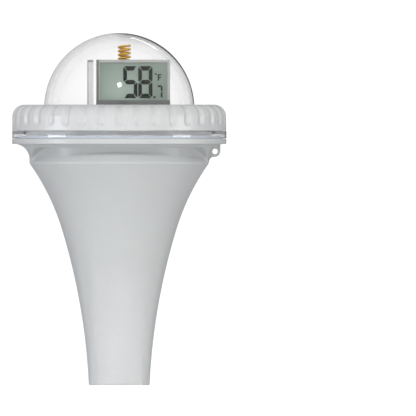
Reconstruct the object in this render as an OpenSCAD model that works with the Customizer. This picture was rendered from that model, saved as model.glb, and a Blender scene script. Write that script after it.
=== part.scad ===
// Floating pool thermometer: a trumpet-shaped float with a screw-on clear dome,
// a standing display inside the dome, and batteries and ballast in the stem.
// Millimetres. +Z is up, the display faces -Y, and the origin is the middle of the base.

/* [Float body] */
// Outer radius of the stem at its base
base_r = 15.2; // [14.8:0.1:15.6]
// Radius of the long lower flare, seen from the side
flare_low_r = 315; // [300:5:330]
// Radius of the shorter upper flare
flare_high_r = 115; // [110:1:120]
// Height where the lower flare turns into the upper one
flare_split_z = 78; // [76:1:80]
// Wall thickness of the float body
wall = 2.2; // [2:0.1:2.4]
// Height of the shoulder where the flare ends
shoulder_z = 111.2; // [111:0.1:111.4]
// Radius of the waist above the shoulder
waist_r = 44.9; // [44.8:0.1:45]
// Outer radius of the collar
collar_r = 53.6; // [53.5:0.1:53.8]
// Underside of the collar
collar_low_z = 120.5; // [120.4:0.1:120.6]
// Top face of the collar
collar_top_z = 123.2; // [123:0.1:123.3]
// Radius of the hollow under the collar
collar_fillet_r = 7.6; // [7.4:0.1:7.6]

/* [Finger scoops] */
// Radius of the curved back wall of a scoop
scoop_wall_r = 51; // [50:0.5:52]
// How far the back wall's centre lies behind the axis
scoop_offset = 11.25; // [11:0.25:11.5]
// Half the width of a scoop
scoop_half_w = 44; // [43.5:0.1:44]
// Ceiling of the scoops
scoop_top_z = 118.6; // [118.4:0.1:118.8]
// Floor of the scoops' end pockets
scoop_low_z = 110.8; // [110.6:0.1:111]

/* [Neck and thread] */
// Outer radius of the threaded neck
neck_r = 46.5; // [46.4:0.1:46.6]
// Bore of the neck
neck_bore_r = 44; // [43.9:0.1:44.1]
// Top of the neck
neck_top_z = 134; // [133.5:0.5:134]
// Rise of the thread in one turn
thread_pitch = 4; // [4:0.1:4.2]

/* [Cap] */
// Outer radius of the clear dome
dome_r = 37.6; // [37.4:0.1:37.7]
// Wall thickness of the dome
dome_wall = 2; // [1.8:0.1:2]
// Height of the dome's centre
dome_z = 138.4; // [138.2:0.1:138.5]
// Outer radius of the grip ring
ring_r = 53.5; // [53.3:0.1:53.6]
// Top of the grip ring
ring_top_z = 140.2; // [140:0.1:140.2]
// Radius of the ring's rounded upper corner
ring_corner_r = 6; // [5.5:0.1:6]
// Number of flutes round the grip ring
flutes = 36; // [24:2:36]
// Radius of the round cutter that makes a flute
flute_r = 3.2; // [3:0.1:3.4]
// Depth of a flute
flute_depth = 0.8; // [0.6:0.1:0.9]

/* [Display] */
// Left edge of the display glass
glass_left = -11.4; // [-11.6:0.1:-11.2]
// Right edge of the display glass
glass_right = 25.3; // [25:0.1:25.4]
// Top edge of the display
display_top_z = 162.5; // [162:0.1:162.6]
// Height of the large figures
digit_h = 16; // [15:0.1:16]
// Width of the large figures
digit_w = 7.1; // [6.8:0.1:7.2]
// Width of the upright bars in the large figures
digit_t = 1.85; // [1.6:0.05:2]
// Height of the level bars in the large figures
digit_level_t = 2.25; // [1.8:0.05:2.4]
// Mean radius of the antenna coil
coil_r = 2.8; // [2.7:0.05:3]
// Rise of the antenna coil in one turn
coil_pitch = 1.95; // [1.8:0.05:2]
// Radius of the antenna's wire
coil_wire_r = 0.6; // [0.4:0.05:0.6]
// Turns in the antenna coil
coil_turns = 4; // [3:1:4]

/* [Batteries and ballast] */
// Radius of a size AA cell
cell_r = 7.25; // [7:0.05:7.25]
// Length of a cell
cell_h = 50.5; // [50:0.1:50.5]
// Distance from the axis back to the cells
cell_y = 14.5; // [14.3:0.1:14.6]
// Top of the ballast
ballast_top_z = 24; // [20:1:30]

/* [Tether eye] */
// Radius of the hole for the tether
eye_r = 1.35; // [1.2:0.05:1.5]
// Distance of the hole from the axis
eye_x = 47.9; // [47.8:0.1:48.2]
// Height of the hole
eye_z = 116.8; // [116.6:0.1:117]
// Thickness of the lug
lug_t = 3; // [2.4:0.2:4]

/* [Hidden] */
$fn = 96;
big_fn = 240;
eps = 0.02;

// Flare: two arcs that meet on one normal, so both keep their centres for the inner wall.
low_centre_z = -14.3;
low_centre = [base_r + sqrt(flare_low_r ^ 2 - low_centre_z ^ 2), low_centre_z];
split_r = low_centre.x - sqrt(flare_low_r ^ 2 - (flare_split_z - low_centre_z) ^ 2);
split = [split_r, flare_split_z];
high_centre = split + (low_centre - split) * flare_high_r / flare_low_r;

// Outer radius of the flare at a height.
function flare_r(z) = z < flare_split_z
    ? low_centre.x - sqrt(flare_low_r ^ 2 - (z - low_centre.y) ^ 2)
    : high_centre.x - sqrt(flare_high_r ^ 2 - (z - high_centre.y) ^ 2);

base_z = 1;
plug_top_z = 6;
plug_bore_r = 13;
fillet_centre = [waist_r + collar_fillet_r, collar_low_z - collar_fillet_r];
ledge_z = 121;
mid_cavity_z = 110;
mid_cavity_r = 42.3;
pocket_r = 3;
pocket_at = [41, 17.5];
scoop_corner_r = 6.5;
boss_r = 3.6;
boss_at_r = 40.8;
boss_angles = [30, 150, 270];
pilot_r = 1;

deck_low_z = 129;
deck_top_z = 131;
deck_r = 43.7;

thread_start_z = 125.2;
thread_lead_in = 7.3;
thread_turns = 1.75;
nut_turns = 1.1;
thread_root_w = 1.9;
thread_crest_w = 0.9;
thread_crest_r = 47.9;
nut_crest_r = 47.2;
skirt_bore_r = 48.6;
skirt_r = 51;
skirt_chamfer = 1.8;
bite = 0.3;
play = 0.6;

cap_low_z = collar_top_z + 0.15;
lip_top_z = 127;
ring_low_z = 127.1;
shoulder_low_z = 136;
ring_bore_r = skirt_r + 0.1;
ring_plate_z = dome_z + 0.1;
gasket = [49.7, 51.8];
groove_gap = 0.1;
gasket_top_z = 124.9;

glass_y = -2.6;
glass_t = 2.2;
glass_low_z = 137;
window = [[-9.8, 142.4], [24.1, 161.2]];
board_y = 0.9;
board_t = 1.6;
board_x = [-11.4, 23.8];
board_z = [134, 161.5];
antenna_x = 2.6;
antenna_foot_z = 158.6;
frame_y = [-3, 4.2];
rail_x = [-15.9, -12.9];
cover_x = [-11.2, 20.5];
cover_z = [140, 157];
cover_y = [2.6, 6.8];
cover_wall = 1.2;
flange_y = [4.22, 5.1];
flange_screw_x = [-13, 22];
flange_screw_z = 132.8;
flange_z = [deck_top_z + 0.2, 139.2];
button_z = 149;
unit_x = -6;
sync_x = 4;
slider_x = 14;

box_low_z = 76.5;
cell_x = 7.6;
cell_gap = 0.3;
box_wall = 1.35;
box_r = cell_r + cell_gap + box_wall;
cell_low_z = 79.1;
ear_x = 20.5;
door_x = 17.5;
door_y = [6.6, 24.5];
door_z = [131.15, 132.75];
hinge_y = 26.3;
hinge_z = 133;
pin_r = 0.9;
knuckle_r = 1.7;

sensor_route = [[0, 0, 5], [0, 0, 20], [0, 0, 34], [-5, 0, 41], [-12, 0, 46], [-13.5, 0, 60],
    [-14, 0, 74], [-17, -1, 90], [-12, -1, 108], [-4, 2.4, 122], [-4, 3.2, 129], [-4, 3.1, 133.6]];

// Trapezoid section of a thread ridge: root and crest radius, k shrinks the crest at the ends.
function ridge(root, crest, k) = [
    [root, -thread_root_w / 2],
    [root + (crest - root) * k, -thread_crest_w / 2],
    [root + (crest - root) * k, thread_crest_w / 2],
    [root, thread_root_w / 2]];

// Faces of a tube of n rings with m points each, closed at both ends.
function tube_faces(n, m) = concat(
    [[for (j = [0:m - 1]) j]],
    [for (i = [0:n - 2], j = [0:m - 1])
        [i * m + j, (i + 1) * m + j, (i + 1) * m + (j + 1) % m, i * m + (j + 1) % m]],
    [[for (j = [m - 1:-1:0]) (n - 1) * m + j]]);

// A ridge carried up a right-hand helix round Z, its height fading in and out.
module helix_ridge(root, crest, start_z, turns, steps_a_turn = 48) {
    n = round(turns * steps_a_turn);
    fade = 4;
    outward = crest > root;
    points = [for (i = [0:n])
        let (a = 360 * i / steps_a_turn, k = max(0.35, min(1, i / fade, (n - i) / fade)))
        let (section = ridge(root, crest, k))
        for (j = [0:3])
            let (p = section[outward ? 3 - j : j])
            [p.x * cos(a + thread_lead_in), p.x * sin(a + thread_lead_in),
                start_z + thread_pitch * a / 360 + p.y]];
    polyhedron(points, tube_faces(n + 1, 4), convexity = 10);
}

// A round wire along points, with its rings turned to a fixed side direction.
module wire(points, r, side = [0, 1, 0], sides = 8) {
    n = len(points);
    rings = [for (i = [0:n - 1])
        let (t = points[min(i + 1, n - 1)] - points[max(i - 1, 0)])
        let (u = cross(t, side) / norm(cross(t, side)))
        let (v = cross(u, t) / norm(cross(u, t)))
        for (j = [0:sides - 1])
            points[i] + r * (cos(360 * j / sides) * u + sin(360 * j / sides) * v)];
    polyhedron(rings, tube_faces(n, sides), convexity = 10);
}

// Points of a smooth curve through a route, four to each stretch.
function smooth(p) = [for (i = [0:len(p) - 2], s = [0:3])
    let (a = p[max(i - 1, 0)], b = p[i], c = p[i + 1], d = p[min(i + 2, len(p) - 1)], t = s / 4)
    0.5 * (2 * b + (c - a) * t + (2 * a - 5 * b + 4 * c - d) * t ^ 2
        + (3 * b - a - 3 * c + d) * t ^ 3)];

// A pan-head screw with a cross recess: its head stands on z = 0 and its shank goes down.
module screw(head_r, shank_r, length) {
    head_h = head_r * 0.7;
    difference() {
        union() {
            cylinder(r = head_r, h = head_h);
            translate([0, 0, -length]) cylinder(r = shank_r, h = length + eps);
        }
        for (a = [0, 90])
            rotate(a) translate([-head_r * 0.6, -head_r * 0.12, head_h / 2])
                cube([head_r * 1.2, head_r * 0.24, head_h]);
    }
}

// A box between two corners.
module block(low, high) {
    translate(low) cube(high - low);
}

// Half section inside the flare, its wall set in by inset, between two heights.
module flare_2d(inset, low_z, high_z) {
    difference() {
        translate([0, low_z]) square([58, high_z - low_z]);
        intersection() {
            translate(low_centre) circle(r = flare_low_r + inset, $fn = big_fn);
            polygon([[0, -50], [low_centre.x, -50], low_centre, split, [0, flare_split_z]]);
        }
        translate(high_centre) circle(r = flare_high_r + inset, $fn = big_fn);
    }
}

// Half section of the waist, the hollow under the collar, and the collar.
module collar_2d() {
    edge = 0.4;
    difference() {
        polygon([[0, mid_cavity_z], [collar_r, mid_cavity_z], [collar_r, collar_top_z - edge],
            [collar_r - edge, collar_top_z], [0, collar_top_z]]);
        translate(fillet_centre) circle(r = collar_fillet_r);
        translate([waist_r, 0]) square([20, fillet_centre.y]);
        translate([fillet_centre.x, 0]) square([20, collar_low_z]);
    }
}

module outer_solid() {
    rotate_extrude() {
        flare_2d(0, base_z, shoulder_z);
        collar_2d();
    }
}

// The scoop on one side: a groove with a sloping lip, outside a curved back wall.
module scoop() {
    slope_in = scoop_top_z - shoulder_z;
    intersection() {
        difference() {
            union() {
                rotate_extrude() polygon([[waist_r, shoulder_z], [60, shoulder_z],
                    [60, scoop_top_z], [waist_r - slope_in, scoop_top_z]]);
                for (s = [-1, 1])
                    translate([s * pocket_at.x, -pocket_at.y, scoop_low_z])
                        cylinder(r = pocket_r, h = scoop_top_z - scoop_low_z);
            }
            difference() {
                translate([0, scoop_offset, 100]) cylinder(r = scoop_wall_r, h = 30, $fn = 180);
                for (s = [-1, 1])
                    translate([s * pocket_at.x, -pocket_at.y, 99]) cylinder(r = pocket_r, h = 32);
            }
        }
        translate([0, -pocket_at.y + pocket_r + 1, 0]) rotate([90, 0, 0]) linear_extrude(60) {
            translate([-scoop_half_w, scoop_low_z])
                square([2 * scoop_half_w, scoop_top_z - scoop_corner_r - scoop_low_z]);
            translate([-scoop_half_w + scoop_corner_r, scoop_low_z])
                square([2 * (scoop_half_w - scoop_corner_r), scoop_top_z - scoop_low_z]);
            for (s = [-1, 1])
                translate([s * (scoop_half_w - scoop_corner_r), scoop_top_z - scoop_corner_r])
                    circle(r = scoop_corner_r);
        }
    }
}

// Plan of the hollow behind the scoops, one wall inside them.
module mid_cavity_2d() {
    difference() {
        intersection() {
            circle(r = mid_cavity_r);
            translate([0, scoop_offset]) circle(r = scoop_wall_r - wall, $fn = 180);
            translate([0, -scoop_offset]) circle(r = scoop_wall_r - wall, $fn = 180);
        }
        for (sx = [-1, 1], sy = [-1, 1])
            translate([sx * pocket_at.x, sy * pocket_at.y]) circle(r = pocket_r + wall);
    }
}

module body_shell() {
    color("#d6d8d7") difference() {
        union() {
            difference() {
                union() {
                    outer_solid();
                    rotate_extrude() polygon([[0, ledge_z], [neck_r, ledge_z],
                        [neck_r, neck_top_z - 0.6], [neck_r - 0.6, neck_top_z], [0, neck_top_z]]);
                }
                rotate_extrude() flare_2d(wall, plug_top_z, mid_cavity_z + eps);
                translate([0, 0, mid_cavity_z]) linear_extrude(ledge_z - mid_cavity_z + eps)
                    mid_cavity_2d();
                translate([0, 0, ledge_z]) cylinder(r = neck_bore_r, h = 20);
                translate([0, 0, -1]) cylinder(r = plug_bore_r, h = plug_top_z + 1 + eps);
                scoop();
                rotate(180) scoop();
            }
            for (a = boss_angles)
                rotate(a) translate([boss_at_r, 0, a == 270 ? 119 : 112])
                    cylinder(r = boss_r, h = deck_low_z - (a == 270 ? 119 : 112));
            helix_ridge(neck_r - bite, thread_crest_r, thread_start_z, thread_turns);
        }
        for (a = boss_angles)
            rotate(a) translate([boss_at_r, 0, deck_low_z - 7]) cylinder(r = pilot_r, h = 8);
    }
}

module tether_lug() {
    lug_r = 2.7;
    color("#d6d8d7") difference() {
        translate([0, lug_t / 2, 0]) rotate([90, 0, 0]) linear_extrude(lug_t) difference() {
            union() {
                translate([eye_x, eye_z]) circle(r = lug_r);
                translate([44, eye_z]) square([eye_x + lug_r - 44, collar_low_z - eye_z]);
                polygon([[44, 111.8], [45, 112], [45.5, 113.2], [46.4, 113.9],
                    [eye_x, eye_z - lug_r], [eye_x, eye_z], [44, eye_z]]);
            }
            translate([eye_x, eye_z]) circle(r = eye_r, $fn = 48);
        }
        outer_solid();
    }
}

module base_cap() {
    spigot_r = plug_bore_r - 0.05;
    color("#cfd1d0") rotate_extrude() polygon([[3.05, 0], [base_r - 0.4, 0], [base_r, 0.4],
        [base_r, base_z - 0.05], [spigot_r, base_z - 0.05], [spigot_r, 2.2], [11.6, 2.2],
        [11.6, 3.9], [spigot_r, 3.9], [spigot_r, plug_top_z], [11, plug_top_z],
        [11, 3], [5, 3], [5, 4.6], [3.05, 4.6]]);
}

module base_seal() {
    color("#3a3c3e") translate([0, 0, 3.05]) rotate_extrude() translate([12.25, 0])
        circle(r = 0.65, $fn = 32);
}

module probe_tip() {
    color("#c4c8cc") rotate_extrude() polygon([[0, 0.3], [2.5, 0.3], [3, 0.8], [3, 4.65],
        [4.4, 4.65], [4.4, 5.6], [2.2, 5.6], [2.2, 1.2], [0, 1.2]]);
}

module thermistor() {
    color("#303234") translate([0, 0, 1.3]) cylinder(r = 1.5, h = 3.6, $fn = 32);
}

module sensor_lead() {
    color("#202224") wire(smooth(sensor_route), 0.85);
}

module ballast_weight() {
    low_z = plug_top_z + 0.6;
    gap = wall + 0.4;
    color("#5c6064") difference() {
        rotate_extrude() difference() {
            flare_2d(gap, low_z, ballast_top_z);
            square([4.2, 100]);
        }
        for (a = [0:120:240])
            rotate(a) translate([9, 0, ballast_top_z - 6]) cylinder(r = 1.5, h = 7, $fn = 32);
    }
}

module ballast_retainer() {
    low_z = ballast_top_z + 0.2;
    color("#b8bcbe") rotate_extrude() difference() {
        flare_2d(wall + 0.1, low_z, low_z + 2);
        square([10, 100]);
    }
}

module stadium_2d(r) {
    for (s = [-1, 1]) translate([s * cell_x, cell_y]) circle(r = r);
    translate([-cell_x, cell_y - r]) square([2 * cell_x, 2 * r]);
}

module deck() {
    lug_w = 3;
    color("#e4e6e6") difference() {
        union() {
            translate([0, 0, deck_low_z]) cylinder(r = deck_r, h = deck_top_z - deck_low_z);
            for (s = [-1, 1])
                translate([s * 12.2 - lug_w / 2, 0, 0]) {
                    block([0, hinge_y - knuckle_r, deck_low_z + 1],
                        [lug_w, hinge_y + knuckle_r, hinge_z]);
                    translate([0, hinge_y, hinge_z]) rotate([0, 90, 0])
                        cylinder(r = knuckle_r, h = lug_w, $fn = 48);
                }
            difference() {
                translate([0, 0, deck_top_z - eps]) cylinder(r = deck_r, h = 1.2);
                translate([0, 0, deck_top_z - 1]) cylinder(r = deck_r - 0.9, h = 4);
            }
        }
        translate([0, 0, deck_low_z - 1]) linear_extrude(4) stadium_2d(cell_r + cell_gap);
        block([-9, 1.4, deck_low_z - 1], [9, 5.4, deck_top_z + 1]);
        for (a = boss_angles)
            rotate(a) translate([boss_at_r, 0, deck_low_z - 1]) cylinder(r = 1.25, h = 4, $fn = 48);
        for (s = [-1, 1])
            translate([s * ear_x, cell_y, deck_low_z - 1]) cylinder(r = 1.05, h = 4, $fn = 48);
        translate([-20, hinge_y, hinge_z]) rotate([0, 90, 0])
            cylinder(r = pin_r, h = 40, $fn = 48);
        for (a = [200:20:340])
            rotate(a) translate([33, 0, deck_low_z - 1]) cylinder(r = 1.6, h = 4, $fn = 32);
    }
}

module deck_screws() {
    color("#b9bcc0") for (a = boss_angles)
        rotate(a) translate([boss_at_r, 0, deck_top_z]) screw(1.9, 0.95, 7.5);
}

module display_frame() {
    color("#eceeee") difference() {
        union() {
            block([rail_x[0], frame_y[0], deck_top_z], [glass_right, frame_y[1], glass_low_z]);
            block([rail_x[0], frame_y[0], deck_top_z], [rail_x[1], frame_y[1], display_top_z]);
            block([board_x[1] + 0.1, -0.1, glass_low_z - eps],
                [glass_right, board_y + board_t, display_top_z - 1.5]);
        }
        block([rail_x[0] + 0.7, frame_y[0] - 1, deck_top_z + 10],
            [rail_x[1] - 0.5, frame_y[0] + 0.8, display_top_z - 0.7]);
        block([board_x[0] - 0.1, board_y - 0.05, board_z[0] - 0.1],
            [board_x[1] + 0.1, board_y + board_t + 0.05, 170]);
        block([-9, 1.4, deck_top_z - 1], [9, frame_y[1] + 1, glass_low_z + 1]);
        for (x = flange_screw_x)
            translate([x, frame_y[1] + eps, flange_screw_z]) rotate([90, 0, 0])
                cylinder(r = 0.7, h = 5, $fn = 32);
    }
}

module lcd_glass() {
    color("#9fa9a0") block([glass_left, glass_y, glass_low_z],
        [glass_right, glass_y + glass_t, display_top_z]);
}

module lcd_reflector() {
    color("#a9b2a8") block([glass_left + 0.3, glass_y + glass_t + 0.05, 142.4],
        [glass_right - 0.3, glass_y + glass_t + 0.3, display_top_z - 0.4]);
}

module lcd_bezel() {
    front_y = glass_y - 0.75;
    color("#a6a4a2") difference() {
        block([glass_left - 0.1, front_y, glass_low_z + 0.2],
            [glass_right + 0.1, glass_y - 0.15, display_top_z + 0.1]);
        block([window[0].x, front_y - 1, window[0].y], [window[1].x, glass_y + 1, window[1].y]);
    }
}

// A seven-bar figure. t is the width of an upright and level_t the height of a level bar. lit lists
// which bars show: top, upper left, upper right, middle, lower left, lower right, bottom.
module figure_2d(w, h, t, level_t, lit) {
    gap = t * 0.14;
    upright = [[0, h / 2 + level_t * 0.3], [0, h - level_t * 0.45], [t * 0.2, h - level_t * 0.2],
        [t, h - level_t], [t, h / 2 + level_t / 2 + gap], [t * 0.25, h / 2 + gap]];
    level = [[t * 0.2 + gap, h], [w - t * 0.2 - gap, h], [w - t - gap, h - level_t],
        [t + gap, h - level_t]];
    middle = [[t * 0.25 + gap, h / 2], [t + gap / 2, (h + level_t) / 2],
        [w - t - gap / 2, (h + level_t) / 2], [w - t * 0.25 - gap, h / 2],
        [w - t - gap / 2, (h - level_t) / 2], [t + gap / 2, (h - level_t) / 2]];
    if (lit[0]) polygon(level);
    if (lit[3]) polygon(middle);
    if (lit[6]) polygon([for (p = level) [p[0], h - p[1]]]);
    for (k = [1, 2, 4, 5]) if (lit[k])
        polygon([for (p = upright) [k % 3 == 1 ? p[0] : w - p[0], k < 3 ? p[1] : h - p[1]]]);
}

module lcd_segments() {
    low_z = 143.4;
    five = [1, 1, 0, 1, 0, 1, 1];
    eight = [1, 1, 1, 1, 1, 1, 1];
    seven = [1, 0, 1, 0, 0, 1, 0];
    small_h = 6.4;
    small_t = 0.9;
    dot_w = 1;
    color("#202422") translate([0, glass_y, 0]) rotate([90, 0, 0]) linear_extrude(0.06) {
        translate([2, low_z]) figure_2d(digit_w, digit_h, digit_t, digit_level_t, five);
        translate([9.5, low_z]) figure_2d(digit_w, digit_h, digit_t, digit_level_t, eight);
        translate([18.6, low_z]) figure_2d(3, small_h, small_t, small_t, seven);
        translate([17.1, low_z]) square(dot_w);
        translate([19.2, 152.1]) {
            square([0.7, 3.3]);
            translate([0, 2.65]) square([1.9, 0.65]);
            translate([0, 1.3]) square([1.7, 0.6]);
        }
        translate([18.3, 155.5]) difference() {
            circle(r = 0.55, $fn = 24);
            circle(r = 0.24, $fn = 24);
        }
    }
}

module zebra_strip() {
    color("#4c4e4e") block([glass_left + 1.1, glass_y + glass_t + 0.02, 137.2],
        [board_x[1], board_y - 0.02, 142.2]);
}

module main_board() {
    color("#2f6b4a") difference() {
        block([board_x[0], board_y, board_z[0]], [board_x[1], board_y + board_t, board_z[1]]);
        block([antenna_x + coil_r - coil_wire_r, board_y - 1, antenna_foot_z],
            [antenna_x + coil_r + coil_wire_r, board_y + board_t + 1, board_z[1] + 1]);
    }
}

module board_parts() {
    back = board_y + board_t;
    color("#2a2c2e") {
        translate([9, back, 153.2]) rotate([-90, 0, 0]) cylinder(r = 2, h = 1.2, $fn = 48);
        block([-9, back, 152.4], [-4, back + 1.3, 155.4]);
        block([0, back, 153.2], [3.4, back + 1.1, 155.2]);
        for (x = [-10:2.4:0]) block([x, back, 142.5], [x + 1.2, back + 0.7, 143.2]);
        translate([16, back, 144]) rotate([-90, 0, 0]) cylinder(r = 1.5, h = 2.6, $fn = 32);
    }
}

module switch_bodies() {
    back = board_y + board_t;
    color("#3c3e40") {
        for (x = [unit_x, sync_x]) {
            block([x - 2.2, back, button_z - 2.2], [x + 2.2, back + 1.5, button_z + 2.2]);
            translate([x, back + 1.5, button_z]) rotate([-90, 0, 0])
                cylinder(r = 1.1, h = 0.3, $fn = 32);
        }
        difference() {
            block([slider_x - 4.5, back, button_z - 1.8],
                [slider_x + 4.5, back + 1.8, button_z + 1.8]);
            block([slider_x - 3.3, back + 0.6, button_z - 0.9],
                [slider_x + 3.3, back + 3, button_z + 0.9]);
        }
    }
}

module antenna() {
    steps = 20;
    low_z = 162.2;
    leg = [[coil_r, 0, antenna_foot_z], [coil_r, 0, low_z - 1.6]];
    coil = [for (i = [0:coil_turns * steps])
        let (a = 360 * i / steps)
        [coil_r * cos(a), coil_r * sin(a), low_z + coil_pitch * a / 360]];
    color("#d9a441") translate([antenna_x, board_y + board_t / 2, 0])
        wire(concat(leg, coil), coil_wire_r, side = [0, -0.03, 1], sides = 6);
}

module rear_cover() {
    color("#e4e6e6") difference() {
        union() {
            block([cover_x[0], cover_y[0], cover_z[0]], [cover_x[1], cover_y[1], cover_z[1]]);
            block([rail_x[0], flange_y[0], flange_z[0]],
                [glass_right, flange_y[1], cover_z[0] + cover_wall]);
        }
        block([cover_x[0] + cover_wall, cover_y[0] - 1, cover_z[0] + cover_wall],
            [cover_x[1] - cover_wall, cover_y[1] - cover_wall, cover_z[1] - cover_wall]);
        block([rail_x[0] - 1, flange_y[0] - 1, flange_z[1]],
            [cover_x[0], flange_y[1] + 1, dome_z + dome_r]);
        for (x = [unit_x, sync_x])
            translate([x, cover_y[1] + 1, button_z]) rotate([90, 0, 0])
                cylinder(r = 2.6, h = 4, $fn = 48);
        block([slider_x - 3.2, cover_y[1] - 2, button_z - 1.1],
            [slider_x + 3.2, cover_y[1] + 1, button_z + 1.1]);
        for (x = flange_screw_x)
            translate([x, flange_y[1] + 1, flange_screw_z]) rotate([90, 0, 0])
                cylinder(r = 0.85, h = 6, $fn = 32);
    }
}

module rear_cover_screws() {
    color("#b9bcc0") for (x = flange_screw_x)
        translate([x, flange_y[1], flange_screw_z]) rotate([-90, 0, 0]) screw(1.4, 0.65, 5);
}

module push_button(x) {
    translate([x, 0, button_z]) rotate([-90, 0, 0]) {
        translate([0, 0, 4.75]) cylinder(r = 3.1, h = 0.8, $fn = 48);
        translate([0, 0, 5.5]) cylinder(r = 2.5, h = 1.8, $fn = 48);
        translate([0, 0, 7.3 - eps]) cylinder(r1 = 2.5, r2 = 2.2, h = 0.3, $fn = 48);
    }
}

module unit_button() {
    color("#9aa0a4") push_button(unit_x);
}

module sync_button() {
    color("#9aa0a4") push_button(sync_x);
}

module channel_slider() {
    color("#26282a") {
        block([slider_x - 1.1, 3.2, button_z - 0.8], [slider_x + 1.1, 7.4, button_z + 0.8]);
    }
}

module battery_box() {
    color("#dadcdc") difference() {
        union() {
            translate([0, 0, box_low_z]) linear_extrude(deck_low_z - box_low_z) stadium_2d(box_r);
            block([-ear_x - 3, cell_y - 3.2, 125.4], [ear_x + 3, cell_y + 3.2, deck_low_z]);
        }
        for (s = [-1, 1])
            translate([s * cell_x, cell_y, box_low_z + 1.4])
                cylinder(r = cell_r + cell_gap, h = 60);
        block([-3, cell_y - 4, 100], [3, cell_y + 4, 140]);
        for (s = [-1, 1]) {
            translate([s * ear_x, cell_y, 126]) cylinder(r = 0.8, h = 5, $fn = 32);
            block([s * cell_x - 1.5, 0, box_low_z + 1.4],
                [s * cell_x + 1.5, cell_y, box_low_z + 2.2]);
        }
    }
}

module box_screws() {
    color("#b9bcc0") for (s = [-1, 1])
        translate([s * ear_x, cell_y, deck_top_z]) screw(1.7, 0.75, 4.6);
}

// A cell stands with its raised end up, or down when turned over.
module cell(x, turned) {
    nub_h = 1.2;
    wrap_h = cell_h - nub_h;
    translate([x, cell_y, cell_low_z]) {
        translate([0, 0, turned ? nub_h : 0]) cylinder(r = cell_r, h = wrap_h);
        translate([0, 0, turned ? 0 : wrap_h - eps]) cylinder(r = 2.6, h = nub_h + eps, $fn = 48);
    }
}

module battery_left() {
    color("#3f6f8f") cell(-cell_x, false);
}

module battery_right() {
    color("#3f6f8f") cell(cell_x, true);
}

module contact_spring() {
    steps = 16;
    turns = 3;
    points = [for (i = [0:turns * steps])
        let (k = i / (turns * steps), a = 360 * turns * k, r = 4.4 - 1.8 * k)
        [r * cos(a), r * sin(a), box_low_z + 1.75 + 0.55 * k]];
    color("#c9ccd0") translate([-cell_x, cell_y, 0])
        wire(points, 0.14, side = [0.01, 0.02, 1], sides = 6);
}

module contact_plate() {
    low_z = box_low_z + 1.42;
    color("#c9ccd0") {
        for (s = [-1, 1])
            block([s * cell_x - 1.4, cell_y - box_r - 0.7, low_z],
                [s * cell_x + 1.4, cell_y - 3, low_z + 0.15]);
        translate([cell_x, cell_y, low_z]) cylinder(r = 5.5, h = 0.15, $fn = 48);
        translate([-cell_x, cell_y, low_z]) cylinder(r = 5.5, h = 0.15, $fn = 48);
    }
}

module battery_leads() {
    top = 135;
    front_y = cell_y - box_r - 0.9;
    for (s = [-1, 1])
        color(s < 0 ? "#1c1e20" : "#a82a24") wire(smooth([[s * cell_x, front_y, 78.6],
            [s * cell_x, front_y - 0.4, 84], [s * 7.8, 4.2, 100], [s * 8, 3.8, 118],
            [s * 7, 3.5, 128], [s * 6.5, 3.4, top]]), 0.6, sides = 8);
}

module battery_door() {
    corner = 2.5;
    color("#dfe1e1") difference() {
        union() {
            translate([0, 0, door_z[0]]) linear_extrude(door_z[1] - door_z[0]) {
                translate([-door_x, door_y[0] + corner])
                    square([2 * door_x, door_y[1] - door_y[0] - corner]);
                translate([-door_x + corner, door_y[0]]) square([2 * (door_x - corner), 5]);
                for (s = [-1, 1])
                    translate([s * (door_x - corner), door_y[0] + corner]) circle(r = corner);
            }
            block([-9.6, door_y[1] - 1, door_z[0]], [9.6, hinge_y, door_z[1]]);
            translate([-9.6, hinge_y, hinge_z]) rotate([0, 90, 0])
                cylinder(r = knuckle_r - 0.05, h = 19.2, $fn = 48);
        }
        translate([-12, hinge_y, hinge_z]) rotate([0, 90, 0])
            cylinder(r = pin_r + 0.06, h = 24, $fn = 48);
        for (y = [9:1.6:14]) block([-7, y, door_z[1] - 0.4], [7, y + 0.7, door_z[1] + 1]);
    }
}

module door_contact() {
    color("#c9ccd0") {
        block([-cell_x - 4, cell_y - 3.5, door_z[0] - 0.5], [cell_x + 4, cell_y + 3.5, door_z[0]]);
        for (s = [-1, 1])
            translate([s * cell_x, cell_y, door_z[0] - 0.9]) cylinder(r = 2, h = 0.45, $fn = 32);
    }
}

module door_pin() {
    color("#b9bcc0") translate([-14, hinge_y, hinge_z]) rotate([0, 90, 0])
        cylinder(r = pin_r, h = 28, $fn = 48);
}

module cap_gasket() {
    color("#46484a") rotate_extrude()
        polygon([[gasket[0], collar_top_z + 0.05], [gasket[1], collar_top_z + 0.05],
            [gasket[1], gasket_top_z - groove_gap], [gasket[0], gasket_top_z - groove_gap]]);
}

module clear_dome() {
    color("#e8eef0", 0.35) union() {
        rotate_extrude() difference() {
            union() {
                translate([0, dome_z]) intersection() {
                    circle(r = dome_r, $fn = 180);
                    translate([0, shoulder_low_z - dome_z]) square(100);
                }
                polygon([[0, cap_low_z], [skirt_r, cap_low_z], [skirt_r, dome_z - skirt_chamfer],
                    [skirt_r - skirt_chamfer, dome_z], [0, dome_z]]);
                polygon([[0, cap_low_z], [collar_r - 0.4, cap_low_z], [collar_r, cap_low_z + 0.4],
                    [collar_r, lip_top_z - 0.2], [collar_r - 0.2, lip_top_z], [0, lip_top_z]]);
            }
            translate([0, dome_z]) intersection() {
                circle(r = dome_r - dome_wall, $fn = 180);
                translate([0, shoulder_low_z - dome_z - 1]) square(100);
            }
            translate([0, cap_low_z - 1]) square([dome_r - dome_wall, dome_z - cap_low_z + 1]);
            translate([0, cap_low_z - 1]) square([skirt_bore_r, shoulder_low_z - cap_low_z + 1]);
            translate([gasket[0] - groove_gap, cap_low_z - 1])
                square([gasket[1] - gasket[0] + 2 * groove_gap, gasket_top_z - cap_low_z + 1]);
        }
        helix_ridge(skirt_bore_r + bite, nut_crest_r,
            thread_start_z + thread_pitch / 2 + play, nut_turns);
    }
}

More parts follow.
